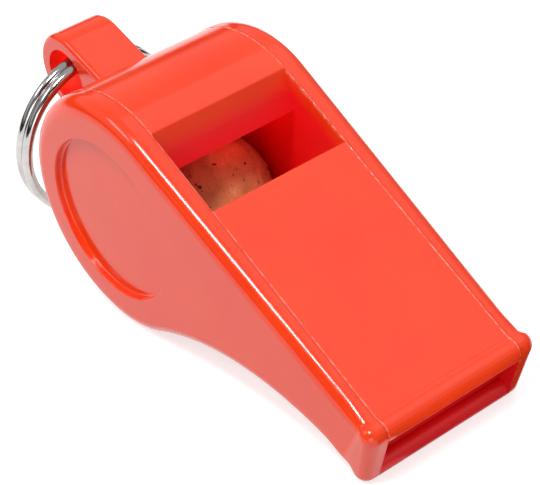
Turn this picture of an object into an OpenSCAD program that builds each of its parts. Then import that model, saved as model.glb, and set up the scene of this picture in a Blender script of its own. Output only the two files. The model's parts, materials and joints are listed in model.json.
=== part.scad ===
// Pea whistle: a welded shell of four plastic mouldings, with a loose cork pea and a split ring.
// Profile axes while modelling: u runs along the roof to the mouth, v rises from it, w runs across.

/* [Body] */
// Width over the two side faces at the barrel's axis
body_w = 20.4; // [18:0.1:24]
// Thickness of each side plate at the barrel's axis
plate_t = 2.5; // [2.2:0.1:3]
// Angle at which each side face closes in towards the mouth
taper = 1.3; // [0.5:0.1:1.5]
// Outer radius of the barrel
barrel_r = 12.2; // [11:0.1:14]
// Thickness of the barrel wall
wall = 2.9; // [2:0.1:3.4]
// Rounding along the outer edge of each side plate
edge_r = 1.5; // [0.6:0.1:1.6]
// Depth and width of the seam groove beside each side plate
seam = 0.15; // [0.05:0.05:0.3]

/* [Side recess] */
// Radius of the round recess in each side plate
recess_r = 8.3; // [5:0.1:9]
// Depth of the round recess
recess_depth = 0.7; // [0.3:0.1:1]

/* [Mouthpiece] */
// Distance from the barrel axis to the centre of the bead over the mouth
bead_u = 33.6; // [28:0.1:40]
// Radius of the bead over the mouth
bead_r = 1.1; // [0.9:0.05:1.3]
// Height of the bead above the roof
bead_proud = 0.3; // [0.1:0.05:0.5]
// Distance that the lower lip stands in front of the bead
lip_step = 0.75; // [0:0.05:1.5]
// Distance from the bead's centre down to the lower lip's centre
lip_drop = 5; // [4.5:0.05:6]
// Radius of the lower lip
lip_r = 1.2; // [1:0.05:1.3]
// Distance that the rim of the mouth stands out beyond the side faces
rim_flare = 0.3; // [0.1:0.05:0.8]
// Distance that the rim closes in on each side from the bead down to the lower lip
rim_draw = 0.4; // [0:0.05:0.6]
// Radius of the hollow sweep under the mouthpiece
belly_r = 33; // [28:0.5:40]
// Angle below the roof's direction at which the hollow sweep leaves the barrel
belly_angle = 37; // [33:0.5:41]

/* [Windway] */
// Distance from the barrel axis to the sharp edge that splits the air, along the roof
labium_u = 2.55; // [1:0.05:4]
// Slope of the bevel behind the sharp edge
bevel_angle = 49; // [35:1:60]
// Distance from the barrel axis to the rear edge of the roof
roof_u = 9; // [8.4:0.1:11]
// Distance from the barrel axis to the front wall of the chamber
front_wall_u = 8.6; // [8:0.1:8.8]
// Thickness of the roof at its rear edge
roof_rear_t = 2.65; // [2:0.05:3]
// Height of the slot that blows at the sharp edge
slot_h = 1.3; // [0.9:0.05:1.8]
// Height that the bead and the lower lip stand proud of the windway inside the mouth
mouth_ridge = 0.25; // [0.1:0.05:0.4]

/* [Lug] */
// Distance from the barrel axis to the lug's rear end
lug_reach = 21.4; // [21:0.1:24]
// Outer radius of the lug's round end
eye_r = 4.1; // [3.5:0.05:4.4]
// Radius of the lug hole
hole_r = 2.8; // [2.2:0.05:3.2]
// Wall between the lug hole and the lug's rear end
lug_end = 1.6; // [1:0.1:2.4]
// Thickness of the lug
lug_t = 6; // [4:0.1:8]
// Rounding along the lug's edges
lug_round = 0.6; // [0.4:0.1:1.2]
// Angle of the lug below the line of the roof, seen from the barrel axis
lug_dip = 8.4; // [0:0.2:15]

/* [Pea] */
// Diameter of the cork pea
pea_d = 12.7; // [9:0.1:13]
// Gap between the pea and what it rests against
pea_gap = 0.15; // [0.1:0.05:0.4]

/* [Split ring] */
// Diameter of the split ring at the middle of its wire
ring_d = 17.5; // [15:0.1:19]
// Diameter of the ring's wire
wire_d = 1.07; // [0.8:0.01:1.2]
// Gap between the ring's two coils
coil_gap = 0.04; // [0.02:0.01:0.1]
// Gap between the ring and the wall of the lug hole that it leans on
seat_gap = 0.3; // [0.2:0.05:0.5]
// Angle from the top of the lug hole to the place that the ring leans on
seat_angle = 36; // [20:1:60]
// Distance that the ring hangs off the lug's middle, towards the left side plate
ring_side = 0.5; // [0:0.1:1]
// Part of a turn in which the wire steps from one coil to the other, in degrees
step_turn = 44; // [30:2:60]
// Place of that step round the ring, in degrees from the lug hole
step_place = 118; // [60:2:160]

/* [Hidden] */
$fn = 96;
plastic = [0.93, 0.2, 0.11];
cork = [0.72, 0.47, 0.31];
steel = [0.78, 0.78, 0.77];
margin = 2;
round_steps = 8;
wire_sides = 8;
wire_steps = 116;
hull_fn = 32;
face_w = body_w / 2;
seam_w = face_w - plate_t;
chamber_r = barrel_r - wall;
bead_v = barrel_r + bead_proud - bead_r;
lip_u = bead_u + lip_step;
lip_v = bead_v - lip_drop;
rim_w = face_w - bead_u * tan(taper) + rim_flare - max(bead_r, lip_r);
belly_d = barrel_r + belly_r;
belly_u = belly_d * cos(belly_angle);
belly_v = -belly_d * sin(belly_angle);
labium_v = sqrt(chamber_r * chamber_r - labium_u * labium_u);
bevel_top_u = labium_u - (barrel_r + margin - labium_v) / tan(bevel_angle);
roof_rear_v = barrel_r - roof_rear_t;
floor_rear_v = roof_rear_v - slot_h;
roof_front_v = bead_v - bead_r + mouth_ridge;
floor_front_v = lip_v + lip_r - mouth_ridge;
front_u = lip_u + lip_r + margin;
lip_reach = norm([lip_u, lip_v]);
rest_tilt = 90 + atan2(lip_v, lip_u) - acos((barrel_r - lip_r) / lip_reach);
lug_angle = 180 + lug_dip;
eye_d = lug_reach - lug_end - hole_r;
eye_x = eye_d * cos(lug_angle - rest_tilt);
eye_z = barrel_r + eye_d * sin(lug_angle - rest_tilt);
front_x = bead_u * cos(rest_tilt) + bead_v * sin(rest_tilt) + bead_r;
rear_x = (lug_reach - eye_r) * cos(lug_angle - rest_tilt) - eye_r;
shift_x = -(front_x + rear_x) / 2;
pea_r = pea_d / 2;
pea_drop = chamber_r - pea_r - pea_gap;
pea_side = seam_w - pea_r - pea_gap;
coil_pitch = wire_d + coil_gap;
ring_r = ring_d / 2;
seat_r = hole_r - wire_d / 2 - seat_gap;
seat_up = seat_r * cos(seat_angle);
seat_front = seat_r * sin(seat_angle) - coil_pitch / 2;
ring_lean = atan2(seat_front, ring_r - seat_up);

// Points of an arc, in degrees from start to end.
function arc(centre, radius, start, end) =
    [for (i = [0:round_steps]) let (t = start + (end - start) * i / round_steps)
        centre + radius * [cos(t), sin(t)]];

// Cross-section of a side plate from reach_in out to reach_out, with its outer edge rounded.
function plate_section(reach_in, reach_out) = concat(
    [[reach_in, seam_w - margin], [reach_out, seam_w - margin]],
    arc([reach_out - edge_r, face_w - edge_r], edge_r, 0, 90),
    [[reach_in, face_w]]);

// The same section turned round, for an edge that curves inwards.
function hollow_section(reach_in, reach_out) = concat(
    [[reach_in, seam_w - margin], [reach_out, seam_w - margin], [reach_out, face_w]],
    arc([reach_in + edge_r, face_w - edge_r], edge_r, 90, 180));

// Cross-section of the lug from its middle out to its edge on one side.
function lug_section() = concat(
    [[0, -lug_t / 2]],
    arc([eye_r - lug_round, lug_round - lug_t / 2], lug_round, -90, 0),
    arc([eye_r - lug_round, lug_t / 2 - lug_round], lug_round, 0, 90),
    [[0, lug_t / 2]]);

// Stands the whistle on its barrel and its lower lip, as it lies on a table.
module at_rest() {
    translate([shift_x, 0, barrel_r]) rotate([0, rest_tilt, 0]) rotate([90, 0, 0]) children();
}

// Part of the side view in front of the barrel, up to the line between the two lips' centres.
module neck_wedge() {
    over = barrel_r + margin;
    slant = lip_step / lip_drop;
    polygon([[0, 0], [belly_u, belly_v] * over / belly_d, [belly_u, belly_v],
        [bead_u + slant * (bead_v - belly_v), belly_v], [bead_u + slant * (bead_v - over), over], [0, over]]);
}

// Side view of the whole shell, drawn in by inset.
module shell_outline(inset) {
    difference() {
        circle(barrel_r - inset);
        neck_wedge();
    }
    difference() {
        intersection() {
            neck_wedge();
            translate([0, -belly_d]) square([front_u, belly_d + barrel_r - inset]);
        }
        translate([belly_u, belly_v]) circle(belly_r + inset);
    }
}

// Space for the air above the floor: window, slot and windway, open at the mouth.
module air_space() {
    polygon([[bevel_top_u, barrel_r + margin], [labium_u, labium_v], [labium_u, 0], [front_wall_u, 0],
        [front_wall_u, floor_rear_v], [lip_u, floor_front_v], [front_u, floor_front_v],
        [front_u, barrel_r + margin]]);
}

module lug() {
    rotate(lug_angle) difference() {
        union() {
            translate([lug_reach - eye_r, 0, 0]) rotate_extrude(start = -90, angle = 180)
                polygon(lug_section());
            for (side = [0, 1]) mirror([0, side, 0])
                translate([chamber_r + wall / 2, 0, 0]) rotate([90, 0, 90])
                    linear_extrude(lug_reach - eye_r - chamber_r - wall / 2) polygon(lug_section());
        }
        translate([eye_d, 0, 0]) cylinder(r = hole_r, h = lug_t + margin, center = true);
    }
}

module barrel_body() {
    color(plastic) at_rest() {
        difference() {
            union() {
                linear_extrude(2 * (seam_w - seam), center = true) shell_outline(0);
                linear_extrude(2 * seam_w, center = true) shell_outline(seam);
            }
            linear_extrude(body_w, center = true) {
                circle(chamber_r);
                air_space();
            }
        }
        translate([lip_u, lip_v, 0]) cylinder(r = lip_r, h = 2 * seam_w, center = true);
        lug();
    }
}

module windway_roof() {
    color(plastic) at_rest() {
        for (inset = [0, seam]) linear_extrude(2 * (seam_w - seam + inset), center = true)
            polygon([[roof_u, roof_rear_v], [bead_u, roof_front_v], [bead_u, barrel_r - inset],
                [roof_u, barrel_r - inset]]);
        translate([bead_u, bead_v, 0]) cylinder(r = bead_r, h = 2 * seam_w, center = true);
    }
}

// Rim of the mouth on one side plate, rounded outside.
module rim() {
    hull() {
        translate([bead_u, bead_v, rim_w]) sphere(bead_r, $fn = hull_fn);
        translate([lip_u, lip_v, rim_w - rim_draw]) sphere(lip_r, $fn = hull_fn);
        translate([bead_u, bead_v, seam_w]) cylinder(r = bead_r, h = seam, $fn = hull_fn);
        translate([lip_u, lip_v, seam_w]) cylinder(r = lip_r, h = seam, $fn = hull_fn);
    }
}

// Round-edged slab with the outline of the shell and the round recess in its outer face.
module plate_slab() {
    difference() {
        union() {
            rotate_extrude(start = 90, angle = 270 - belly_angle) polygon(plate_section(0, barrel_r));
            intersection() {
                linear_extrude(face_w + margin) neck_wedge();
                rotate([90, 0, 90]) linear_extrude(front_u) polygon(plate_section(-belly_d, barrel_r));
                translate([belly_u, belly_v, 0]) rotate_extrude()
                    polygon(hollow_section(belly_r, belly_r + front_u + belly_d));
            }
        }
        translate([0, 0, face_w - recess_depth]) cylinder(r = recess_r, h = recess_depth + margin);
    }
}

// Side plate with its outer face closing in towards the mouth and its seam face square to the width.
module side_plate() {
    intersection() {
        union() {
            translate([0, 0, face_w]) rotate([0, taper, 0]) translate([0, 0, -face_w]) plate_slab();
            rim();
        }
        translate([-belly_d, -belly_d, seam_w]) cube([2 * belly_d, 2 * belly_d, body_w]);
    }
}

module left_side_plate() {
    color(plastic) at_rest() side_plate();
}

module right_side_plate() {
    color(plastic) at_rest() mirror([0, 0, 1]) side_plate();
}

module cork_pea() {
    color(cork) translate([shift_x, pea_side, barrel_r - pea_drop]) sphere(pea_r);
}

// Place of the wire's centre along its two turns, from the middle of the ring.
function wire_point(turn) =
    let (ramp = min(1, max(0, (turn - 360) / step_turn + 0.5)))
    let (side = (ramp * ramp * (3 - 2 * ramp) - 0.5) * coil_pitch)
    [ring_r * cos(turn + step_place), ring_r * sin(turn + step_place), side];

// Circle of points round the wire at one place of its turns.
function wire_circle(turn) =
    let (centre = wire_point(turn))
    let (out = [cos(turn + step_place), sin(turn + step_place), 0])
    [for (k = [0:wire_sides - 1]) let (t = 360 * k / wire_sides)
        centre + wire_d / 2 * (cos(t) * out + sin(t) * [0, 0, 1])];

// One wire wound twice round, which steps from its first coil to its second.
module wound_wire() {
    first = step_turn / 2;
    last = 720 - step_turn / 2;
    circles = [for (i = [0:wire_steps]) wire_circle(first + (last - first) * i / wire_steps)];
    points = [for (ring = circles) each ring];
    tube = [for (i = [0:wire_steps - 1]) for (k = [0:wire_sides - 1])
        let (a = i * wire_sides, b = a + wire_sides, next = (k + 1) % wire_sides)
            [a + k, a + next, b + next, b + k]];
    start_cap = [for (k = [wire_sides - 1:-1:0]) k];
    end_cap = [for (k = [0:wire_sides - 1]) wire_steps * wire_sides + k];
    polyhedron(points, concat([start_cap], tube, [end_cap]), convexity = 4);
}

module split_ring() {
    color(steel) translate([shift_x + eye_x, -ring_side, eye_z]) rotate([0, ring_lean, 0])
        translate([seat_front, 0, seat_up - ring_r]) rotate([0, -90, 0]) wound_wire();
}

barrel_body();
windway_roof();
left_side_plate();
right_side_plate();
cork_pea();
split_ring();
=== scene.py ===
# %% [markdown]
# A pea whistle, dressed piece by piece
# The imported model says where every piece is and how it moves. It is loaded first and stays as it is. Its
# meshes could simply be painted, but their edges are crisp and their curves faceted. So each visible piece
# is modelled again, with smooth fillets and seams, and stands for its CAD node.

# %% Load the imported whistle
import json
import math

import bmesh
import bpy
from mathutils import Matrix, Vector


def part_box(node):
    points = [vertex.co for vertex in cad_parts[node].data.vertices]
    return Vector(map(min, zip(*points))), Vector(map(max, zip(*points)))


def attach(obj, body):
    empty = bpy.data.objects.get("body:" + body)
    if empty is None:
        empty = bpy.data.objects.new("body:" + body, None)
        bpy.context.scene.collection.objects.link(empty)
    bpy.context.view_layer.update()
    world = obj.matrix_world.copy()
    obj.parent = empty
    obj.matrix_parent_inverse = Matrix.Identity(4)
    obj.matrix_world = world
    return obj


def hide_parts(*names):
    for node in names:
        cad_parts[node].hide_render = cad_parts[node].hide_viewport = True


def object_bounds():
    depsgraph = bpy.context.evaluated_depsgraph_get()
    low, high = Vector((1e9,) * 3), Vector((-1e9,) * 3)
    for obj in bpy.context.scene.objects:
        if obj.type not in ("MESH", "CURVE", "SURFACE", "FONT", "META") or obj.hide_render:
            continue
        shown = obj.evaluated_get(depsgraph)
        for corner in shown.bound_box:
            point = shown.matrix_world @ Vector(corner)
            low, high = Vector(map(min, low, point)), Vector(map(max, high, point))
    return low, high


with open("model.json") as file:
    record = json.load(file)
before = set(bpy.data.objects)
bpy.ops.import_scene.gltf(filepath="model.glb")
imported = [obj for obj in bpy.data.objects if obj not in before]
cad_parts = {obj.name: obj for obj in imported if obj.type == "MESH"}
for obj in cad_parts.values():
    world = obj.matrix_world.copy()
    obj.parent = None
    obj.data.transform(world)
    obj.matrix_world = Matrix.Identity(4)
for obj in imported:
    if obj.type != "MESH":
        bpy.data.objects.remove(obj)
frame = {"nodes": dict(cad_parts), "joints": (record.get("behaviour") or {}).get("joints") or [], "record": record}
cad_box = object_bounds()
cad_size = [round(side * 1000, 2) for side in cad_box[1] - cad_box[0]]
print("nodes", sorted(frame["nodes"]), "size in mm", cad_size)

# %% [markdown]
# Sizes
# The whistle is drawn with its roof level, in millimetres: u runs along the roof to the mouth, w runs
# across it and v rises square to it. All three are zero at the barrel's axis. The frame gives that axis,
# the lug hole, the tilt at which the whistle lies and the taper of its sides. They could be typed in again,
# but taken from the frame they always agree with it. A moulding's own sizes are named in the cell that
# first needs them, so a learner can change one and see what follows.

# %% Sizes from the frame
MM = 0.001
joints = {joint["name"]: joint for joint in frame["joints"]}
mounts = {mount["name"]: mount for mount in frame["record"]["mounts"]}
barrel_axis = Vector(joints["pea_orbit"]["pos_m"])
lug_hole = Vector(joints["ring_swing"]["pos_m"])
side_normal = Vector(mounts["left_face"]["axis"])
side_point = (Vector(mounts["left_face"]["pos_m"]) - barrel_axis) / MM
rest_tilt = math.atan2(-side_normal.z, side_normal.x)
taper = math.acos(-side_normal.y)
side_u = side_point.x * math.cos(rest_tilt) - side_point.z * math.sin(rest_tilt)
face_w = -side_point.y + side_u * math.tan(taper)
seam_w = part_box("barrel_body")[1].y / MM
barrel_r = barrel_axis.z / MM
print("barrel radius", round(barrel_r, 2), "side face", round(face_w, 2), "seam", round(seam_w, 2))
print("tilt", round(math.degrees(rest_tilt), 2), "taper", round(math.degrees(taper), 2), "degrees")

# %% [markdown]
# Drawing with a single vertex
# A moulding's side view is a few straight lines and arcs. By hand it could be traced with a curve, or cut
# from blocks. Here one vertex is the pen: a plane is merged to a point, Extrude pulls it along a line and
# Spin carries it round an arc. The closed outline is filled and pulled across the whistle's width, which
# keeps every arc exact.

# %% The pen
same_point = 0.01


def take_up(piece):
    """Select one piece alone and make it active."""
    bpy.ops.object.select_all(action="DESELECT")
    bpy.context.view_layer.objects.active = piece
    piece.select_set(True)


def name_new(name):
    piece = bpy.context.object
    piece.name = name
    piece.data.name = name
    return piece


def begin_outline(name, u, v, w):
    bpy.ops.object.select_all(action="DESELECT")
    bpy.ops.mesh.primitive_plane_add(size=MM)
    piece = name_new(name)
    bpy.ops.object.mode_set(mode="EDIT")
    bpy.ops.mesh.select_all(action="SELECT")
    bpy.ops.mesh.merge(type="CENTER")
    bpy.ops.transform.translate(value=(u * MM, w * MM, v * MM))
    return piece


def pen_place(piece):
    mesh = bmesh.from_edit_mesh(piece.data)
    tip = next(vertex for vertex in mesh.verts if vertex.select)
    return tip.co.x / MM, tip.co.z / MM


def line_to(piece, u, v, steps=1):
    start_u, start_v = pen_place(piece)
    step = ((u - start_u) / steps * MM, 0, (v - start_v) / steps * MM)
    for _ in range(steps):
        bpy.ops.mesh.extrude_region_move(TRANSFORM_OT_translate={"value": step})


def arc_about(u, v, clockwise, steps):
    bpy.ops.mesh.spin(steps=steps, angle=clockwise, center=(u * MM, 0, v * MM), axis=(0, -1, 0))


def fill_and_pull(piece, width):
    bpy.ops.mesh.select_all(action="SELECT")
    bpy.ops.mesh.remove_doubles(threshold=same_point * MM)
    bpy.ops.mesh.edge_face_add()
    bpy.ops.mesh.extrude_region_move(TRANSFORM_OT_translate={"value": (0, width * MM, 0)})
    bpy.ops.mesh.select_all(action="SELECT")
    bpy.ops.mesh.normals_make_consistent(inside=False)
    print(piece.name, "outline pulled across", round(abs(width), 2), "mm")


# %% [markdown]
# Picking by place
# Edit mode acts on what is selected. By hand an edge would be clicked, but there is no mouse here, and an
# edge's number changes with every cut. So vertices and edges are picked by a test on their place in
# millimetres, and the operator that follows works on them alone.

# %% Picking and rounding
def pick_vertices(piece, test):
    bpy.ops.mesh.select_mode(type="VERT")
    bpy.ops.mesh.select_all(action="DESELECT")
    mesh = bmesh.from_edit_mesh(piece.data)
    for vertex in mesh.verts:
        vertex.select_set(test(vertex.co / MM))
    mesh.select_flush_mode()
    bmesh.update_edit_mesh(piece.data)


def pick_edges(piece, test):
    """Pick the edges that pass, and tell how many they are."""
    bpy.ops.mesh.select_mode(type="EDGE")
    bpy.ops.mesh.select_all(action="DESELECT")
    mesh = bmesh.from_edit_mesh(piece.data)
    for edge in mesh.edges:
        first, second = (vertex.co / MM for vertex in edge.verts)
        edge.select_set(test(first, second))
    bmesh.update_edit_mesh(piece.data)
    return sum(edge.select for edge in mesh.edges)


def both(test):
    """A test for an edge, from a test that both its ends have to pass."""
    return lambda first, second: test(first) and test(second)


def round_picked(radius, segments):
    bpy.ops.mesh.bevel(offset=radius * MM, offset_type="OFFSET", segments=segments, affect="EDGES",
                       clamp_overlap=True)


# %% Cutting, laying down and finishing
def cut_away(piece, cutter, operation="DIFFERENCE"):
    take_up(piece)
    boolean = piece.modifiers.new("shape", "BOOLEAN")
    boolean.operation = operation
    boolean.solver = "EXACT"
    boolean.object = cutter
    bpy.ops.object.modifier_apply(modifier=boolean.name)
    bpy.data.objects.remove(cutter)


def apply_place():
    bpy.ops.object.transform_apply(location=True, rotation=True, scale=True)


def lay_at_rest(piece):
    take_up(piece)
    piece.rotation_euler = (0, rest_tilt, 0)
    piece.location = barrel_axis
    apply_place()


def smooth_finish(piece, sharp=35):
    """Shade smooth up to an angle in degrees, and keep the flat faces looking flat."""
    take_up(piece)
    bpy.ops.object.shade_smooth_by_angle(angle=math.radians(sharp))
    weighted = piece.modifiers.new("flat faces stay flat", "WEIGHTED_NORMAL")
    weighted.keep_sharp = True
    bpy.ops.object.modifier_apply(modifier=weighted.name)
    low = [min(vertex.co[axis] for vertex in piece.data.vertices) / MM for axis in range(3)]
    high = [max(vertex.co[axis] for vertex in piece.data.vertices) / MM for axis in range(3)]
    print(piece.name, len(piece.data.polygons), "faces", [round(value, 2) for value in low + high])


# %% [markdown]
# The side plates
# Each side of the whistle is one moulding: a plate with a rounded outer edge, a shallow round recess and
# half of the rim round the mouth. Its outline runs along the roof, round the rim, back under the mouthpiece
# and round the barrel. A cage under Subdivision Surface would give soft edges too, but it would bend the
# flat side. Here the outline is drawn, the outer face is turned so that the sides close in towards the
# mouth, and a weighted Bevel rounds its edge.

# %% Sizes of the plate's outline
bead_u, bead_v, bead_r = 33.6, 11.4, 1.1
lip_u, lip_v, lip_r = 34.35, 6.4, 1.2
lip_past = math.radians(35)
lip_hollow_r = 1.2
rim_blend_u = 30
rim_u, rim_v = bead_u + bead_r - lip_r, barrel_r - lip_r
rim_turn = math.atan2(lip_u - rim_u, rim_v - lip_v)
belly_r = 33
belly_angle = math.radians(37)
belly_u = (barrel_r + belly_r) * math.cos(belly_angle)
belly_v = -(barrel_r + belly_r) * math.sin(belly_angle)
belly_start_u = 32.6
belly_start_v = belly_v + math.sqrt(belly_r ** 2 - (belly_start_u - belly_u) ** 2)
belly_start_angle = math.atan2(belly_start_v - belly_v, belly_start_u - belly_u)
belly_fine_angle = math.radians(4)
hollow_turn = lip_past + belly_start_angle - math.pi / 2
print("belly's centre", round(belly_u, 2), round(belly_v, 2), "and where it starts", round(belly_start_v, 2))


# %% Outline of a side plate
def draw_under_side(piece, barrel_turn):
    """From the lower lip's underside back along the belly and round the barrel."""
    hollow_u = lip_u - (lip_r + lip_hollow_r) * math.sin(lip_past)
    hollow_v = lip_v - (lip_r + lip_hollow_r) * math.cos(lip_past)
    arc_about(hollow_u, hollow_v, -hollow_turn, steps=8)
    line_to(piece, belly_start_u, belly_start_v)
    belly_rest_angle = belly_start_angle + belly_fine_angle - (math.pi - belly_angle)
    arc_about(belly_u, belly_v, -belly_fine_angle, steps=16)
    arc_about(belly_u, belly_v, belly_rest_angle, steps=40)
    arc_about(0, 0, barrel_turn, steps=132)


def draw_side_plate():
    piece = begin_outline("left_plate", 0, barrel_r, -seam_w)
    line_to(piece, rim_blend_u, barrel_r, steps=72)
    line_to(piece, rim_u, barrel_r, steps=16)
    arc_about(rim_u, rim_v, math.pi / 2 - rim_turn, steps=12)
    tip_u, tip_v = pen_place(piece)
    line_to(piece, tip_u + lip_u - rim_u, tip_v + lip_v - rim_v, steps=10)
    arc_about(lip_u, lip_v, math.pi / 2 + rim_turn + lip_past, steps=18)
    draw_under_side(piece, math.radians(270) - belly_angle)
    fill_and_pull(piece, seam_w - face_w)
    return piece


left_plate = draw_side_plate()

# %% Taper
clear_of_seam = 1


def on_outer_face(place):
    return place.y < -seam_w - clear_of_seam


pick_vertices(left_plate, on_outer_face)
bpy.ops.transform.rotate(value=-taper, orient_axis="Z", center_override=(0, -face_w * MM, 0))
mesh = bmesh.from_edit_mesh(left_plate.data)
mouth_side = max(vertex.co.y / MM for vertex in mesh.verts if vertex.select)
print("side face at the mouth:", round(-mouth_side, 2), "mm from the middle")

# %% Rounded edge
edge_r = 1.9
roof_edge_r = 1.4
rim_edge_r = 1.05
rim_start_u = 32.35
rear_start, rear_full = math.radians(95), math.radians(150)
rear_gone_u = 12


def share(value, start, end):
    """How far a value has come from start to end, from 0 to 1."""
    return min(1, max(0, (value - start) / (end - start)))


def ease(value, start, end):
    """The same, with no kink at either end."""
    straight = share(value, start, end)
    return straight * straight * (3 - 2 * straight)


def edge_radius(place):
    """Widest round the barrel's rear, narrower along the roof and the belly, narrowest at the rim."""
    rear = ease(math.atan2(place.z, place.x) % (2 * math.pi), rear_start, rear_full)
    rear *= 1 - ease(place.x, 0, rear_gone_u)
    radius = roof_edge_r + (edge_r - roof_edge_r) * rear
    return radius + (rim_edge_r - radius) * ease(place.x, rim_blend_u, rim_start_u)


mesh = bmesh.from_edit_mesh(left_plate.data)
weights = mesh.edges.layers.float.new("bevel_weight_edge")
for edge in mesh.edges:
    first, second = (vertex.co / MM for vertex in edge.verts)
    if on_outer_face(first) and on_outer_face(second):
        edge[weights] = edge_radius((first + second) / 2) / edge_r
bpy.ops.object.mode_set(mode="OBJECT")
rounding = left_plate.modifiers.new("rounded edge", "BEVEL")
rounding.limit_method = "WEIGHT"
rounding.width = edge_r * MM
rounding.segments = 8
rounding.use_clamp_overlap = False
bpy.ops.object.modifier_apply(modifier=rounding.name)
print("rounded edge:", len(left_plate.data.polygons), "faces")

# %% The rim stands proud
rim_end_u = 33.3
rim_rise = 0.3
rim_flare = 0.45
rim_draw = 0.5
rim_cuts = 12
bpy.ops.object.mode_set(mode="EDIT")
for cut in range(rim_cuts + 1):
    cut_u = rim_start_u + (rim_end_u - rim_start_u) * cut / rim_cuts
    bpy.ops.mesh.select_all(action="SELECT")
    bpy.ops.mesh.bisect(plane_co=(cut_u * MM, 0, 0), plane_no=(1, 0, 0))
mesh = bmesh.from_edit_mesh(left_plate.data)
for vertex in mesh.verts:
    u, w, v = vertex.co.x / MM, -vertex.co.y / MM, vertex.co.z / MM
    proud = ease(u, rim_start_u, rim_end_u)
    outward = share(w, seam_w, face_w - u * math.tan(taper))
    upward = share(v, lip_v, barrel_r)
    vertex.co.y -= (rim_flare - rim_draw * (1 - upward)) * outward * proud * MM
    vertex.co.z += rim_rise * upward * proud * MM
bmesh.update_edit_mesh(left_plate.data)
bpy.ops.object.mode_set(mode="OBJECT")
print("rim stands proud over", round(rim_end_u - rim_start_u, 2), "mm")

# %% Round recess
recess_r = 8.3
recess_depth = 0.7
recess_rim_r = 0.14
recess_foot_r = 0.22
recess_slack = 0.05
bpy.ops.object.select_all(action="DESELECT")
bpy.ops.mesh.primitive_cylinder_add(vertices=160, radius=recess_r * MM, depth=2 * recess_depth * MM,
                                    location=(0, -face_w * MM, 0), rotation=(math.pi / 2, 0, taper))
cut_away(left_plate, bpy.context.object)


def on_recess(depth):
    """A test for the recess's round edge at a depth below the side face."""
    def test(place):
        sink = (place.y + face_w) * math.cos(taper) - place.x * math.sin(taper)
        from_edge = math.hypot(place.x, place.z) - recess_r
        return abs(sink - depth) < same_point and abs(from_edge) < recess_slack
    return test


bpy.ops.object.mode_set(mode="EDIT")
rim_edges = pick_edges(left_plate, both(on_recess(0)))
round_picked(recess_rim_r, segments=3)
foot_edges = pick_edges(left_plate, both(on_recess(recess_depth)))
round_picked(recess_foot_r, segments=4)
print("rounded", rim_edges, "edges at the recess's rim and", foot_edges, "at its foot")

# %% Welded seam of the plate
seam_r = 0.16
seam_play = 0.03
seam_play_outward = 0.3
seam_slack = 0.02
flash_w = 0.34
flash_h = 0.06
floor_gap = 1


def off_floor(place):
    """True where the whistle, once laid down, is clear of the floor."""
    return barrel_r + place.z * math.cos(rest_tilt) - place.x * math.sin(rest_tilt) > floor_gap


def on_seam_edge(place):
    from_seam = abs(abs(place.y) - seam_w)
    return seam_slack < from_seam < seam_r + seam_slack and off_floor(place)


def fray_seam(piece, seed):
    """A welded edge is never ruler straight, so its vertices are nudged a little."""
    pick_vertices(piece, on_seam_edge)
    bpy.ops.transform.vertex_random(offset=seam_play * MM, normal=seam_play_outward, seed=seed)
    bpy.ops.object.mode_set(mode="OBJECT")


seam_edges = pick_edges(left_plate, both(lambda place: abs(place.y + seam_w) < same_point))
round_picked(seam_r, segments=2)
bpy.ops.mesh.select_all(action="SELECT")
bpy.ops.mesh.bisect(plane_co=(0, -(seam_w + flash_w) * MM, 0), plane_no=(0, 1, 0))
pick_vertices(left_plate, lambda place: abs(-place.y - seam_w - flash_w) < same_point and off_floor(place))
bpy.ops.transform.shrink_fatten(value=-flash_h * MM)
fray_seam(left_plate, seed=3)
print("broke", seam_edges, "edges along the seam")

# %% The other plate, and both laid at rest
take_up(left_plate)
bpy.ops.object.duplicate()
right_plate = name_new("right_plate")
bpy.ops.object.mode_set(mode="EDIT")
bpy.ops.mesh.select_all(action="SELECT")
bpy.ops.transform.resize(value=(1, -1, 1), center_override=(0, 0, 0))
bpy.ops.mesh.normals_make_consistent(inside=False)
bpy.ops.object.mode_set(mode="OBJECT")
for plate in (left_plate, right_plate):
    lay_at_rest(plate)
    smooth_finish(plate)

# %% [markdown]
# The windway roof
# The roof is a long wedge between the plates: thick at the window, thinner at the mouth, with a half-round
# bead at its front end. A cube with a bevelled end would do, but the drawn section keeps the bead a true
# circle. The roof lies a hair lower than the plates, as a welded piece does. A low ledge runs behind the
# bead, and the edges along the seams are broken.

# %% Section and edges of the roof
roof_u = 9
roof_rear_t = 2.65
roof_rear_v = barrel_r - roof_rear_t
weld_step = 0.03
roof_top_v = barrel_r - weld_step
ledge_w = 0.3
ledge_rise = 0.03
ledge_v = barrel_r + ledge_rise
upper_ridge = 0.6
small_r = 0.12
bead_crease = math.acos((ledge_v - bead_v) / bead_r)
crease_u = bead_u - bead_r * math.sin(bead_crease)
ceiling_rise = math.acos((bead_r - upper_ridge) / bead_r)
roof = begin_outline("roof", roof_u, roof_top_v, -seam_w)
line_to(roof, crease_u - ledge_w - (ledge_v - roof_top_v), roof_top_v, steps=56)
line_to(roof, crease_u - ledge_w, ledge_v)
line_to(roof, crease_u, ledge_v)
arc_about(bead_u, bead_v, bead_crease + math.pi + ceiling_rise, steps=48)
line_to(roof, roof_u, roof_rear_v, steps=2)
fill_and_pull(roof, 2 * seam_w)


def on_roof_seam(place):
    return abs(abs(place.y) - seam_w) < same_point and place.z > bead_v - bead_r / 2


pick_edges(roof, both(lambda place: abs(place.x - roof_u) < same_point))
round_picked(small_r, segments=3)
pick_edges(roof, both(on_roof_seam))
round_picked(seam_r, segments=2)
fray_seam(roof, seed=5)
lay_at_rest(roof)
smooth_finish(roof)

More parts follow.
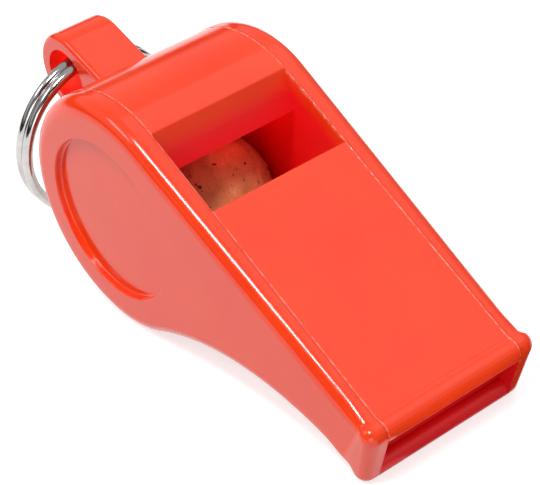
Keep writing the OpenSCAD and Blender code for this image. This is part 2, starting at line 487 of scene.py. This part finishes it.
# %% [markdown]
# The barrel body
# The middle moulding is the barrel's wall with the sharp edge and its bevel, the chamber's front wall, the
# windway's floor and the lower lip. A pipe with pieces cut out and added would need many Booleans, and each
# could leave a crack. All of these share one section, so it is drawn once and pulled across, and only its
# edges are worked on after that.

# %% Section of the barrel body
chamber_r = 9.3
labium_u = 2.55
labium_v = math.sqrt(chamber_r ** 2 - labium_u ** 2)
bevel_angle = math.radians(49)
bevel_run = Vector((-math.cos(bevel_angle), math.sin(bevel_angle)))
labium = Vector((labium_u, labium_v))
lean = labium.dot(bevel_run)
bevel_top = labium + bevel_run * (math.sqrt(lean ** 2 + barrel_r ** 2 - chamber_r ** 2) - lean)
front_wall_u = 8.6
wall_foot_v = math.sqrt(chamber_r ** 2 - front_wall_u ** 2)
windway_h = 1.3
floor_rear_v = roof_rear_v - windway_h
chamber_turn = math.atan2(wall_foot_v, front_wall_u) + 2 * math.pi - math.atan2(labium_v, labium_u)
mouth_ridge = 0.25
crest_r = 0.95
crest_v = lip_v - lip_r + crest_r
crest_low = math.asin((lip_v - crest_v) / lip_r)
crest_u = lip_u + lip_r * math.cos(crest_low) - crest_r
crest_top = math.pi - math.asin((crest_r - mouth_ridge) / crest_r)
body = begin_outline("barrel", bevel_top.x, bevel_top.y, -seam_w)
line_to(body, labium_u, labium_v)
arc_about(0, 0, -chamber_turn, steps=120)
line_to(body, front_wall_u, floor_rear_v)
line_to(body, crest_u + crest_r * math.cos(crest_top), crest_v + crest_r * math.sin(crest_top))
arc_about(crest_u, crest_v, crest_top, steps=24)
arc_about(lip_u, lip_v, math.pi / 2 - crest_low + lip_past, steps=16)
draw_under_side(body, 2 * math.pi - belly_angle - math.atan2(bevel_top.y, bevel_top.x))
fill_and_pull(body, 2 * seam_w)

# %% Edges of the barrel body
labium_edge_r = 0.05
window_gap = 2
skin_slack = 0.1
lip_slack = 0.3
skin_share = 1 - weld_step / barrel_r


def on_barrel(place):
    return math.hypot(place.x, place.z) > barrel_r - seam_slack and place.x < roof_u - window_gap


def along_width(u, v):
    return both(lambda place: math.hypot(place.x - u, place.z - v) < same_point)


def on_body_seam(place):
    if place.x < roof_u:
        outside = math.hypot(place.x, place.z) > barrel_r - skin_slack
    else:
        outside = place.z < lip_v + lip_slack
    return outside and abs(abs(place.y) - seam_w) < same_point


pick_vertices(body, on_barrel)
bpy.ops.transform.resize(value=(skin_share, 1, skin_share), center_override=(0, 0, 0))
pick_edges(body, along_width(bevel_top.x * skin_share, bevel_top.y * skin_share))
round_picked(small_r, segments=3)
pick_edges(body, along_width(labium_u, labium_v))
round_picked(labium_edge_r, segments=2)
pick_edges(body, along_width(front_wall_u, floor_rear_v))
round_picked(small_r, segments=3)
print("broke", pick_edges(body, both(on_body_seam)), "edges along the body's seams")
round_picked(seam_r, segments=2)
fray_seam(body, seed=7)

# %% [markdown]
# The lug
# Behind the barrel stands a round-ended bar with a hole for the ring. It could be pulled out of the
# barrel's wall, but its edges would then run into the seams. It is modelled on its own, level and with room
# around it, where its edges are easy to round. Then it is turned to its place and joined to the barrel by a
# Boolean.

# %% The lug's bar
hole_from_axis = (lug_hole - barrel_axis) / MM
hole_u = hole_from_axis.x * math.cos(rest_tilt) - hole_from_axis.z * math.sin(rest_tilt)
hole_v = hole_from_axis.x * math.sin(rest_tilt) + hole_from_axis.z * math.cos(rest_tilt)
eye_d = math.hypot(hole_u, hole_v)
lug_turn = math.atan2(hole_v, hole_u)
eye_r = 4.1
hole_r = 2.8
lug_t = 6
lug_end = 1.6
lug_edge_r = 0.6
lug_reach = eye_d + hole_r + lug_end
wall_behind_lug = 1.4
lug_root = chamber_r + wall_behind_lug
lug = begin_outline("lug", lug_root, eye_r, -lug_t / 2)
line_to(lug, lug_reach - eye_r, eye_r, steps=8)
arc_about(lug_reach - eye_r, 0, math.pi, steps=40)
line_to(lug, lug_root, -eye_r, steps=8)
fill_and_pull(lug, lug_t)


def round_lug_side(first, second):
    on_side = abs(first.y - second.y) < same_point and abs(abs(first.y) - lug_t / 2) < same_point
    return on_side and max(first.x, second.x) > lug_root + same_point


print("rounded", pick_edges(lug, round_lug_side), "edges of the lug")
round_picked(lug_edge_r, segments=6)
bpy.ops.object.mode_set(mode="OBJECT")

# %% The lug's hole, and its place on the barrel
# The pick also takes the edges along the hole's wall. They lie so close together that Bevel stops short
# of this radius, and the rims are rounded by about 0.02 mm.
hole_edge_r = 0.3
bpy.ops.object.select_all(action="DESELECT")
bpy.ops.mesh.primitive_cylinder_add(vertices=96, radius=hole_r * MM, depth=2 * lug_t * MM,
                                    location=(eye_d * MM, 0, 0), rotation=(math.pi / 2, 0, 0))
cut_away(lug, bpy.context.object)


def on_hole_edge(place):
    from_edge = math.hypot(place.x - eye_d, place.z) - hole_r
    return abs(from_edge) < same_point and abs(abs(place.y) - lug_t / 2) < same_point


bpy.ops.object.mode_set(mode="EDIT")
print("rounded", pick_edges(lug, both(on_hole_edge)), "edges of the hole")
round_picked(hole_edge_r, segments=4)
bpy.ops.object.mode_set(mode="OBJECT")
lug.rotation_euler = (0, -lug_turn, 0)
bpy.context.view_layer.update()
cut_away(body, lug, "UNION")
lay_at_rest(body)
smooth_finish(body)

# %% [markdown]
# The cork pea
# A ball turned from cork: nearly round, with open pores and a fine grain. A UV sphere would pinch at its
# poles, so an ico sphere is used, and Displace modifiers press the pores in from its surface and never out
# of it.

# %% The ball and its pores
pea_low, pea_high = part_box("cork_pea")
pea_r = (pea_high - pea_low).z / 2
grain_size, grain_depth = 0.9, 0.09
pore_size, pore_depth, pore_contrast = 1.3, 0.08, 3
bpy.ops.object.select_all(action="DESELECT")
bpy.ops.mesh.primitive_ico_sphere_add(subdivisions=6, radius=pea_r, location=(pea_low + pea_high) / 2)
pea = name_new("pea")
apply_place()
grain = bpy.data.textures.new("grain", "CLOUDS")
grain.noise_scale = grain_size * MM
pores = bpy.data.textures.new("pores", "VORONOI")
pores.noise_scale = pore_size * MM
pores.noise_intensity = pore_contrast
for texture, depth in ((grain, grain_depth), (pores, pore_depth)):
    press = pea.modifiers.new(texture.name, "DISPLACE")
    press.texture = texture
    press.strength = depth * MM
    press.mid_level = 1
    bpy.ops.object.modifier_apply(modifier=press.name)
smooth_finish(pea, sharp=80)

# %% [markdown]
# The split ring
# One wire is wound twice round and steps from its first coil to its second. A torus has no step, and a
# curve gives little say over it. So the wire's round section is spun: once round, over the step in short
# turns, and round again. The ring then leans on the inside of the lug hole, as it does when the whistle
# lies on a table.

# %% Two turns of wire
ring_r = 8.75
wire_r = 0.535
coil_pitch = 1.11
coil_steps = 180
step_turn = math.radians(44)
step_count = 24
coil_turn = 2 * math.pi - step_turn
bpy.ops.object.select_all(action="DESELECT")
bpy.ops.mesh.primitive_circle_add(vertices=32, radius=wire_r * MM, rotation=(math.pi / 2, 0, 0),
                                  location=(coil_pitch / 2 * MM, 0, ring_r * MM))
ring = name_new("ring")
apply_place()


def wind(turn, steps):
    bpy.ops.mesh.spin(steps=steps, angle=turn, center=(0, 0, 0), axis=(1, 0, 0))


bpy.ops.object.mode_set(mode="EDIT")
bpy.ops.mesh.select_all(action="SELECT")
bpy.ops.mesh.edge_face_add()
wind(coil_turn, coil_steps)
shift = [0.5 * (1 - math.cos(math.pi * step / step_count)) for step in range(step_count + 1)]
for step in range(step_count):
    wind(step_turn / step_count, 1)
    bpy.ops.transform.translate(value=((shift[step] - shift[step + 1]) * coil_pitch * MM, 0, 0))
wind(coil_turn, coil_steps)
bpy.ops.mesh.select_all(action="SELECT")
bpy.ops.mesh.remove_doubles(threshold=same_point * MM)
bpy.ops.mesh.normals_make_consistent(inside=False)
bpy.ops.object.mode_set(mode="OBJECT")
print("wound", len(ring.data.vertices), "vertices of wire")

# %% The ring hung in the lug
step_place = math.radians(118)
hang_gap = 0.3
seat_r = hole_r - wire_r - hang_gap
seat_angle = math.radians(36)
seat_up = seat_r * math.cos(seat_angle)
seat_front = seat_r * math.sin(seat_angle) - coil_pitch / 2
ring_lean = math.atan2(seat_front, ring_r - seat_up)
ring_middle = sum(corner.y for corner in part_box("split_ring")) / 2
ring.rotation_euler = (-step_place - step_turn / 2, 0, 0)
apply_place()
ring.location = (seat_front * MM, 0, (seat_up - ring_r) * MM)
apply_place()
ring.rotation_euler = (0, ring_lean, 0)
ring.location = lug_hole + Vector((0, ring_middle, 0))
apply_place()
smooth_finish(ring, sharp=50)

# %% [markdown]
# Finishes
# A finish could come from pictures wrapped round a piece, but those need a map and show a seam. Here every
# finish is made of nodes and reads Object coordinates, so its pattern sits still on the piece at any size.
# The helpers below add one kind of node each, which keeps the materials short enough to read.

# %% Helpers for patterns
def new_finish(name):
    material = bpy.data.materials.new(name)
    material.use_nodes = True
    tree = material.node_tree
    place = tree.nodes.new("ShaderNodeTexCoord").outputs["Object"]
    return material, tree, tree.nodes["Principled BSDF"], place


def stretched(tree, place, turn, stretch):
    mapping = tree.nodes.new("ShaderNodeMapping")
    mapping.inputs["Rotation"].default_value = turn
    mapping.inputs["Scale"].default_value = stretch
    tree.links.new(place, mapping.inputs["Vector"])
    return mapping.outputs["Vector"]


def noise(tree, place, size, detail):
    """Cloudy values between 0 and 1, with spots of about a size in millimetres."""
    texture = tree.nodes.new("ShaderNodeTexNoise")
    texture.inputs["Scale"].default_value = 1 / (size * MM)
    texture.inputs["Detail"].default_value = detail
    tree.links.new(place, texture.inputs["Vector"])
    return texture.outputs["Fac"]


def specks(tree, place, size):
    texture = tree.nodes.new("ShaderNodeTexVoronoi")
    texture.inputs["Scale"].default_value = 1 / (size * MM)
    tree.links.new(place, texture.inputs["Vector"])
    return texture.outputs["Distance"]


def ramp(tree, value, *stops):
    """Turn a value into a grey or a colour. A stop is a position with what it gives there."""
    node = tree.nodes.new("ShaderNodeValToRGB")
    for element, (position, colour) in zip(node.color_ramp.elements, stops):
        element.position = position
        element.color = (*colour, 1) if isinstance(colour, tuple) else (colour, colour, colour, 1)
    tree.links.new(value, node.inputs["Fac"])
    return node.outputs["Color"]


# %% Helpers for sums, colours and bumps
mix_first, mix_second, mix_result = 6, 7, 2


def combine(tree, operation, first, second=0):
    node = tree.nodes.new("ShaderNodeMath")
    node.operation = operation
    for value, socket in zip((first, second), node.inputs):
        if isinstance(value, (int, float)):
            socket.default_value = value
        else:
            tree.links.new(value, socket)
    return node.outputs["Value"]


def combine_all(tree, operation, first, *others):
    """Combine any number of values, one after the other."""
    for other in others:
        first = combine(tree, operation, first, other)
    return first


def between(tree, value, start, end):
    """From 0 at the start to 1 at the end, as ease does, in nodes."""
    node = tree.nodes.new("ShaderNodeMapRange")
    node.interpolation_type = "SMOOTHSTEP"
    node.inputs["From Min"].default_value = start
    node.inputs["From Max"].default_value = end
    tree.links.new(value, node.inputs["Value"])
    return node.outputs["Result"]


def blend_colours(tree, factor, first, second):
    node = tree.nodes.new("ShaderNodeMix")
    node.data_type = "RGBA"
    tree.links.new(factor, node.inputs["Factor"])
    tree.links.new(first, node.inputs[mix_first])
    node.inputs[mix_second].default_value = (*second, 1)
    return node.outputs[mix_result]


def bump(tree, shader, *layers):
    """Lay heights over each other, each with its depth in millimetres."""
    normal = None
    for height, depth in layers:
        node = tree.nodes.new("ShaderNodeBump")
        node.inputs["Distance"].default_value = depth * MM
        tree.links.new(height, node.inputs["Height"])
        if normal:
            tree.links.new(normal, node.inputs["Normal"])
        normal = node.outputs["Normal"]
    tree.links.new(normal, shader.inputs["Normal"])


# %% [markdown]
# Painted glow and shade where the plastic is deep
# Light goes a little way into this plastic, so the walls of the window, the mouth and the lug hole look
# crimson where the outside looks orange. Subsurface scattering is the usual way, but each moulding is a
# closed mesh, and scattering leaves a dark line where two of them touch. So the deep places are found by u,
# w and v, and get a painted crimson, which stands for that glow and for the shade inside. Each pair of
# limits below says where a share begins and where it is whole.

# %% Finding the deep places
inner_side = (seam_w + 0.1, seam_w + 0.05)
under_skin = (barrel_r - 0.5, barrel_r - 2.2)
chamber_side = (barrel_r - 0.3, barrel_r - 1.2)
chamber_top = (3, 5)
rear_half = (1, 0)
behind_roof = (11, 9)
past_window = (9, 12)
under_roof = (11, 10.2)
over_floor = (5.9, 6.3)
at_lip = (31.5, 32.5)
hole_wall = (hole_r + 0.3, hole_r + 0.05)
hole_glow_share = 0.6


def drawn_place(tree, place):
    """The place as u, w and v, in millimetres."""
    mapping = tree.nodes.new("ShaderNodeMapping")
    mapping.vector_type = "TEXTURE"
    mapping.inputs["Location"].default_value = barrel_axis
    mapping.inputs["Rotation"].default_value = (0, rest_tilt, 0)
    mapping.inputs["Scale"].default_value = (MM, MM, MM)
    tree.links.new(place, mapping.inputs["Vector"])
    split = tree.nodes.new("ShaderNodeSeparateXYZ")
    tree.links.new(mapping.outputs["Vector"], split.inputs["Vector"])
    return split.outputs["X"], split.outputs["Y"], split.outputs["Z"]


def distance_from(tree, u, v, centre_u, centre_v):
    across = combine(tree, "SUBTRACT", u, centre_u)
    up = combine(tree, "SUBTRACT", v, centre_v)
    squares = [combine(tree, "MULTIPLY", side, side) for side in (across, up)]
    return combine(tree, "SQRT", combine(tree, "ADD", *squares))


# The share of painted glow and shade: the inner walls of the window, the windway, the mouth and the lug hole.
def painted_glow_share(tree, u, w, v):
    inside = between(tree, combine(tree, "ABSOLUTE", w), *inner_side)
    radius = distance_from(tree, u, v, 0, 0)
    rear_radius = combine(tree, "MULTIPLY", radius, between(tree, u, *rear_half))
    height = combine(tree, "MAXIMUM", v, rear_radius)
    chamber = combine(tree, "MAXIMUM", between(tree, v, *chamber_top), between(tree, radius, *chamber_side))
    in_barrel = combine_all(tree, "MULTIPLY", between(tree, height, *under_skin),
                            between(tree, u, *behind_roof), chamber)
    open_front = combine(tree, "MAXIMUM", between(tree, v, *over_floor), between(tree, u, *at_lip))
    in_windway = combine_all(tree, "MULTIPLY", between(tree, v, *under_roof),
                             between(tree, u, *past_window), open_front)
    in_shell = combine(tree, "MULTIPLY", inside, combine(tree, "MAXIMUM", in_barrel, in_windway))
    in_hole = between(tree, distance_from(tree, u, v, hole_u, hole_v), *hole_wall)
    return combine(tree, "MAXIMUM", in_shell, combine(tree, "MULTIPLY", in_hole, hole_glow_share))


# %% [markdown]
# Painted highlight and shadow at the welds
# The plates are welded on. Along each seam a thin pale line of flecks is painted as a highlight, where a
# raised weld edge would catch the lamp, and just outside it a thin dark line is painted as the shadow of a
# small step. Both could be painted on a map. Here they follow from the distance to the seam, which stays
# true wherever the seam runs, and noise breaks the highlight up into flecks.

# %% Finding the weld
# Where the painted highlight and the painted shadow line lie along the seams, and how strong they are.
highlight_band = (0.11, 0.04)
shadow_line_inner, shadow_line_outer = (0.08, 0.14), (0.26, 0.2)
shadow_line_share = 0.5
barrel_skin = (0.4, 0.3)
barrel_rear = (0.5, -0.5)
roof_skin = (barrel_r - 0.4, barrel_r - 0.3)


def weld_highlight_and_shadow(tree, place, u, w, v):
    from_seam = combine(tree, "SUBTRACT", combine(tree, "ABSOLUTE", w), seam_w)
    from_skin = combine(tree, "SUBTRACT", distance_from(tree, u, v, 0, 0), barrel_r)
    on_rear = between(tree, combine(tree, "ABSOLUTE", from_skin), *barrel_skin)
    on_rear = combine(tree, "MULTIPLY", on_rear, between(tree, u, *barrel_rear))
    on_skin = combine(tree, "MAXIMUM", on_rear, between(tree, v, *roof_skin))
    highlight_flecks = ramp(tree, noise(tree, place, size=0.5, detail=4), (0.38, 0.1), (0.64, 0.8))
    # Painted highlight: pale flecks on the seam, where a weld edge would catch the lamp.
    painted_highlight = between(tree, combine(tree, "ABSOLUTE", from_seam), *highlight_band)
    painted_highlight = combine_all(tree, "MULTIPLY", painted_highlight, on_skin, highlight_flecks)
    # Painted shadow: a dark line just outside the seam, where a small step would cast one.
    painted_shadow = between(tree, from_seam, *shadow_line_inner)
    painted_shadow = combine(tree, "MULTIPLY", painted_shadow, between(tree, from_seam, *shadow_line_outer))
    painted_shadow = combine_all(tree, "MULTIPLY", painted_shadow, on_skin, shadow_line_share)
    return painted_highlight, painted_shadow


# %% [markdown]
# Glossy moulded plastic
# The plastic is a strong orange red with a polished skin. One colour with a low roughness would look like a
# drawing of plastic. So its colour drifts a little, as mixed pigment does, the deep places get a painted
# crimson glow and shade, the welds get a painted highlight and a painted shadow line, and the gloss has a
# faint haze. The skin has the slow waves and flow lines of a moulding, hairline scratches and a few specks
# of dust, each as a shallow bump.

# %% Shell plastic
pigment_dark, pigment_light = (0.88, 0.037, 0.003), (0.92, 0.050, 0.004)
# Painted crimson, for the glow of light through the walls and for the shade inside.
painted_glow_crimson = (0.9, 0.008, 0.013)
# Painted: the dark red of the shadow line and the pale pink of the highlight at the welds.
shadow_line_red = (0.6, 0.012, 0.002)
highlight_pale = (0.95, 0.3, 0.2)
deep_roughness = 0.4
scratch_turn, scratch_stretch = (0.2, 0.6, 0.9), (0.06, 1, 1)
flow_turn, flow_stretch = (0, 0, 0), (1, 0.04, 1)
wave_depth, flow_depth, scratch_depth, dust_depth = 0.003, 0.0003, 0.0008, 0.015


def make_shell_plastic():
    material, tree, shader, place = new_finish("moulded_plastic")
    u, w, v = drawn_place(tree, place)
    painted_glow = painted_glow_share(tree, u, w, v)
    painted_highlight, painted_shadow = weld_highlight_and_shadow(tree, place, u, w, v)
    drift = noise(tree, place, size=9, detail=3)
    colour = ramp(tree, drift, (0.3, pigment_dark), (0.7, pigment_light))
    # Painted glow and shade: crimson on the inner walls.
    colour = blend_colours(tree, painted_glow, colour, painted_glow_crimson)
    # Painted shadow line, then painted highlight, at the welds.
    colour = blend_colours(tree, painted_shadow, colour, shadow_line_red)
    colour = blend_colours(tree, painted_highlight, colour, highlight_pale)
    tree.links.new(colour, shader.inputs["Base Color"])
    haze = ramp(tree, noise(tree, place, size=3, detail=4), (0.3, 0.13), (0.75, 0.21))
    dulled = combine(tree, "MAXIMUM", haze, combine(tree, "MULTIPLY", painted_glow, deep_roughness))
    tree.links.new(dulled, shader.inputs["Roughness"])
    waves = noise(tree, place, size=5, detail=1)
    flow = noise(tree, stretched(tree, place, flow_turn, flow_stretch), size=0.5, detail=3)
    hairs = noise(tree, stretched(tree, place, scratch_turn, scratch_stretch), size=0.22, detail=2)
    hairs = ramp(tree, hairs, (0.70, 0.0), (0.76, 1.0))
    scratched = ramp(tree, noise(tree, place, size=4, detail=1), (0.55, 0.0), (0.65, 1.0))
    scratches = combine(tree, "MULTIPLY", hairs, scratched)
    dust = ramp(tree, specks(tree, place, size=2.4), (0.02, 1.0), (0.06, 0.0))
    bump(tree, shader, (waves, wave_depth), (flow, flow_depth), (scratches, scratch_depth),
         (dust, dust_depth))
    shader.inputs["IOR"].default_value = 1.52
    return material


shell_plastic = make_shell_plastic()
print("made", shell_plastic.name, "of", len(shell_plastic.node_tree.nodes), "nodes")

# %% [markdown]
# Cork
# Cork is tan with paler and redder patches, fine dark flecks and open pores that hold the dark. One noise
# could give the patches alone, but the eye knows cork by its three sizes of spot, so each has a noise of
# its own. The large pores are in the mesh. The colour, the small pits and the fine grain come from the
# nodes.

# %% Cork
cork_dark, cork_light = (0.44, 0.215, 0.09), (0.62, 0.34, 0.155)
fleck_brown = (0.44, 0.2, 0.08)
pit_brown = (0.10, 0.035, 0.018)
fine_grain_depth, pit_depth = 0.05, 0.12


def make_cork():
    material, tree, shader, place = new_finish("cork_grain")
    patches = ramp(tree, noise(tree, place, size=2.6, detail=4), (0.32, cork_dark), (0.68, cork_light))
    flecks = ramp(tree, noise(tree, place, size=0.18, detail=3), (0.50, 0.0), (0.72, 1.0))
    pits = ramp(tree, noise(tree, place, size=0.6, detail=3), (0.66, 0.0), (0.72, 1.0))
    flecked = blend_colours(tree, flecks, patches, fleck_brown)
    tree.links.new(blend_colours(tree, pits, flecked, pit_brown), shader.inputs["Base Color"])
    tree.links.new(ramp(tree, flecks, (0, 0.75), (1, 0.95)), shader.inputs["Roughness"])
    fine_grain = noise(tree, place, size=0.3, detail=3)
    pit_floor = ramp(tree, pits, (0, 1.0), (1, 0.0))
    bump(tree, shader, (fine_grain, fine_grain_depth), (pit_floor, pit_depth))
    return material


cork = make_cork()
print("made", cork.name, "of", len(cork.node_tree.nodes), "nodes")

# %% [markdown]
# Nickel-plated wire
# The plating is bright and nearly neutral, a little warm. A plain metal with one roughness would mirror the
# room too cleanly. Sliding in the lug has left fine scuffs, so its roughness changes along the wire and a
# faint bump breaks up the reflections.

# %% Ring steel
nickel_dark, nickel_light = (0.46, 0.445, 0.43), (0.58, 0.565, 0.55)
scuff_depth = 0.002


def make_ring_steel():
    material, tree, shader, place = new_finish("nickel_wire")
    shade = ramp(tree, noise(tree, place, size=1.5, detail=3), (0.3, nickel_dark), (0.7, nickel_light))
    tree.links.new(shade, shader.inputs["Base Color"])
    shader.inputs["Metallic"].default_value = 1
    gloss = ramp(tree, noise(tree, place, size=0.8, detail=4), (0.3, 0.08), (0.75, 0.15))
    tree.links.new(gloss, shader.inputs["Roughness"])
    bump(tree, shader, (noise(tree, place, size=0.6, detail=2), scuff_depth))
    return material


ring_steel = make_ring_steel()
print("made", ring_steel.name, "of", len(ring_steel.node_tree.nodes), "nodes")

# %% [markdown]
# Putting the pieces on their bodies
# Each piece takes its finish, stands for its CAD node and rides on the body that carries that node, so it
# moves as the joints do. A list says it all in one place, which is easier to check than six blocks of code.

# %% Finishes, slots and bodies
dressed = (
    (body, "barrel_body", "shell", "shell_plastic", shell_plastic),
    (roof, "windway_roof", "shell", "shell_plastic", shell_plastic),
    (left_plate, "left_side_plate", "shell", "shell_plastic", shell_plastic),
    (right_plate, "right_side_plate", "shell", "shell_plastic", shell_plastic),
    (pea, "cork_pea", "pea", "cork", cork),
    (ring, "split_ring", "ring", "ring_steel", ring_steel),
)
for piece, node, carrier, slot, finish in dressed:
    piece.data.materials.clear()
    piece.data.materials.append(finish)
    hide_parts(node)
    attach(piece, carrier)
    print(piece.name, "stands for", node, "on", carrier)

# %% [markdown]
# Floor
# The whistle lies on a plain white sweep. White paint under these lamps would turn out grey, and more light
# would bleach the whistle. So the paint has a little glow of its own, for what the camera and the
# reflections see: it reads as white paper and still holds a soft shadow.

# %% White floor
floor_size = 8
floor_grey = 0.55
floor_glow = 0.7
bpy.ops.object.select_all(action="DESELECT")
bpy.ops.mesh.primitive_plane_add(size=floor_size)
floor = name_new("floor")


def matt_paint(name, grey, roughness):
    paint = bpy.data.materials.new(name)
    paint.use_nodes = True
    shader = paint.node_tree.nodes["Principled BSDF"]
    shader.inputs["Base Color"].default_value = (grey, grey, grey, 1)
    shader.inputs["Roughness"].default_value = roughness
    shader.inputs["Specular IOR Level"].default_value = 0
    return paint


paper = matt_paint("paper", floor_grey, roughness=0.9)
tree = paper.node_tree
shader = tree.nodes["Principled BSDF"]
seen = tree.nodes.new("ShaderNodeLightPath").outputs
rays = (seen["Is Camera Ray"], seen["Is Glossy Ray"], seen["Is Transmission Ray"])
glow = combine(tree, "MULTIPLY", combine_all(tree, "MAXIMUM", *rays), floor_glow)
shader.inputs["Emission Color"].default_value = (1, 1, 1, 1)
tree.links.new(glow, shader.inputs["Emission Strength"])
floor.data.materials.append(paper)
print("floor laid,", floor_size, "m wide")

# %% [markdown]
# Light
# A white sky gives the plain level. It could light everything alone, but gloss needs something to mirror,
# so the sky darkens near the horizon like the walls of a studio. A strip lamp draws the bright line along
# the rounded edge, side and top lamps give the softer lights, a front lamp lifts the mouth, and a rear lamp
# lifts the side away from the camera. Cards stand or lie where the reflections are darker. Lamps and cards
# are hidden from the camera.

# %% The room
wall_grey = 0.06
# Heights on an arrow of length 1 that points at the room
wall_top, sky_start = 0.17, 0.27
sky_level = 0.58
world = bpy.data.worlds.new("room")
bpy.context.scene.world = world
world.use_nodes = True
sky = world.node_tree
height = sky.nodes.new("ShaderNodeSeparateXYZ")
sky.links.new(sky.nodes.new("ShaderNodeTexCoord").outputs["Generated"], height.inputs["Vector"])
walls = ramp(sky, height.outputs["Z"], (wall_top, wall_grey), (sky_start, 1.0))
sky.links.new(walls, sky.nodes["Background"].inputs["Color"])
sky.nodes["Background"].inputs["Strength"].default_value = sky_level
print("sky at", sky_level, "with walls up to", wall_top)

# %% Lamps
middle = Vector((0, 0, barrel_axis.z))
lamp_distance = 0.6


def aim(thing, direction, distance):
    """Stand a lamp or a card off from the whistle and face it."""
    thing.location = middle + Vector(direction).normalized() * distance
    thing.rotation_euler = Vector(direction).to_track_quat("Z", "Y").to_euler()


def add_lamp(name, direction, distance, width, length, power, mirrored=True):
    bpy.ops.object.light_add(type="AREA")
    lamp = name_new(name)
    lamp.data.shape = "RECTANGLE"
    lamp.data.size = width
    lamp.data.size_y = length
    lamp.data.energy = power
    lamp.visible_camera = False
    lamp.visible_glossy = mirrored
    aim(lamp, direction, distance)
    return lamp


add_lamp("strip_lamp", (0.165, -0.36, 0.92), lamp_distance, width=0.16, length=0.1, power=1.8)
add_lamp("side_lamp", (-0.28, -0.62, 0.72), lamp_distance, width=0.34, length=0.11, power=0.7)
add_lamp("top_lamp", (0.05, 0.47, 0.87), lamp_distance, width=0.6, length=0.4, power=0.45)
add_lamp("front_lamp", (0.78, -0.63, 0.1), lamp_distance, width=0.3, length=0.3, power=0.8)
add_lamp("rear_lamp", (-0.75, 0.6, 0.3), lamp_distance, width=0.5, length=0.4, power=0.4, mirrored=False)


# %% Cards
def add_card(name, direction, distance, width, length, grey):
    bpy.ops.object.select_all(action="DESELECT")
    bpy.ops.mesh.primitive_plane_add(size=1)
    card = name_new(name)
    card.scale = (width, length, 1)
    aim(card, direction, distance)
    card.visible_camera = False
    card.data.materials.append(matt_paint(name, grey, roughness=1))
    return card


add_card("edge_card", (0.1, -0.8, 0.6), 0.55, width=0.26, length=0.42, grey=0.2)
add_card("camera_card", (0.668, -0.475, 0.573), 0.5, width=0.3, length=0.3, grey=0.02)
card_lift = 0.1
floor_cards = (
    ("front_card", (33, -8), (64, 60), 0.03),
    ("far_card", (64, -8), (300, 240), 0.25),
    # Painted shadow: the black card under the mouth stands for the floor's shadow there, as the reflections see
    # it.
    ("lip_shadow_card", (26.5, -4), (33, 20), 0.03),
)
for name, low, high, grey in floor_cards:
    card = add_card(name, (0, 0, 1), 0, (high[0] - low[0]) * MM, (high[1] - low[1]) * MM, grey)
    card.location = ((low[0] + high[0]) / 2 * MM, (low[1] + high[1]) / 2 * MM, card_lift * MM)
    card.visible_shadow = False
    card.visible_diffuse = False

# %% [markdown]
# Light inside the whistle
# Light that has come through the walls makes the window, the windway, the mouth and the lug hole glow red.
# As scattering is left out, a very small lamp in each stands for it, with the colour that the wall gives
# the light. A strip before the mouth warms the bead. None of them shows in a reflection.

# %% Glows
glow_r = 0.8
wall_red, windway_orange = (1, 0.05, 0.04), (1, 0.62, 0.42)
lug_orange, bead_orange = (1, 0.6, 0.4), (1, 0.5, 0.25)
glows = (
    ("window_glow", (0.3, 2.6, 7.4), 0.0003, wall_red),
    ("windway_glow", (7.4, 0, 5.6), 0.00013, windway_orange),
    ("mouth_glow", (30, 0, 8.6), 0.00004, wall_red),
    ("lug_glow", (hole_u - 0.6, 0, hole_v + 0.4), 0.00018, lug_orange),
)


def at_rest(u, w, v):
    """A drawn place or direction, turned as the whistle lies."""
    return Vector((u * math.cos(rest_tilt) + v * math.sin(rest_tilt), w,
                   v * math.cos(rest_tilt) - u * math.sin(rest_tilt)))


for name, place, power, colour in glows:
    bpy.ops.object.light_add(type="POINT", location=barrel_axis + at_rest(*place) * MM)
    lamp = name_new(name)
    lamp.data.energy = power
    lamp.data.color = colour
    lamp.data.shadow_soft_size = glow_r * MM
    lamp.visible_camera = False
    lamp.visible_glossy = False
fill_u, fill_w, fill_h = 37, 13, 1
along_roof = at_rest(1, 0, 0)
mouth_fill = add_lamp("mouth_fill", along_roof, 0, fill_w * MM, fill_h * MM, power=0.00007, mirrored=False)
mouth_fill.location = barrel_axis + at_rest(fill_u, 0, bead_v) * MM
mouth_fill.data.color = bead_orange
print("glows", [name for name, place, power, colour in glows], "and", mouth_fill.name)

# %% [markdown]
# Camera
# A short lens near the whistle would stretch its mouth. The camera was fitted to the photograph's edges,
# and that gave a long lens from the front, above and to the near side, turned a few degrees about its own
# axis. Depth of field stays off, so that other views are sharp too.

# %% Long lens from the near front
camera_place = barrel_axis + Vector((140.811, -92.21, 109.01)) * MM
camera_target = barrel_axis + Vector((10.519, 0.41, -2.861)) * MM
camera_roll = math.radians(-6.39)
camera_lens = 139.83
film_width = 36
nearest, farthest = 0.01, 20
bpy.ops.object.camera_add(location=camera_place)
camera = bpy.context.object
camera.rotation_euler = (camera_target - camera_place).to_track_quat("-Z", "Y").to_euler()
camera.rotation_euler.rotate_axis("Z", camera_roll)
camera.data.lens = camera_lens
camera.data.sensor_width = film_width
camera.data.clip_start = nearest
camera.data.clip_end = farthest
bpy.context.scene.camera = camera
bpy.context.scene.view_settings.view_transform = "Standard"
print("camera at", [round(value * 1000, 1) for value in camera_place], "mm")
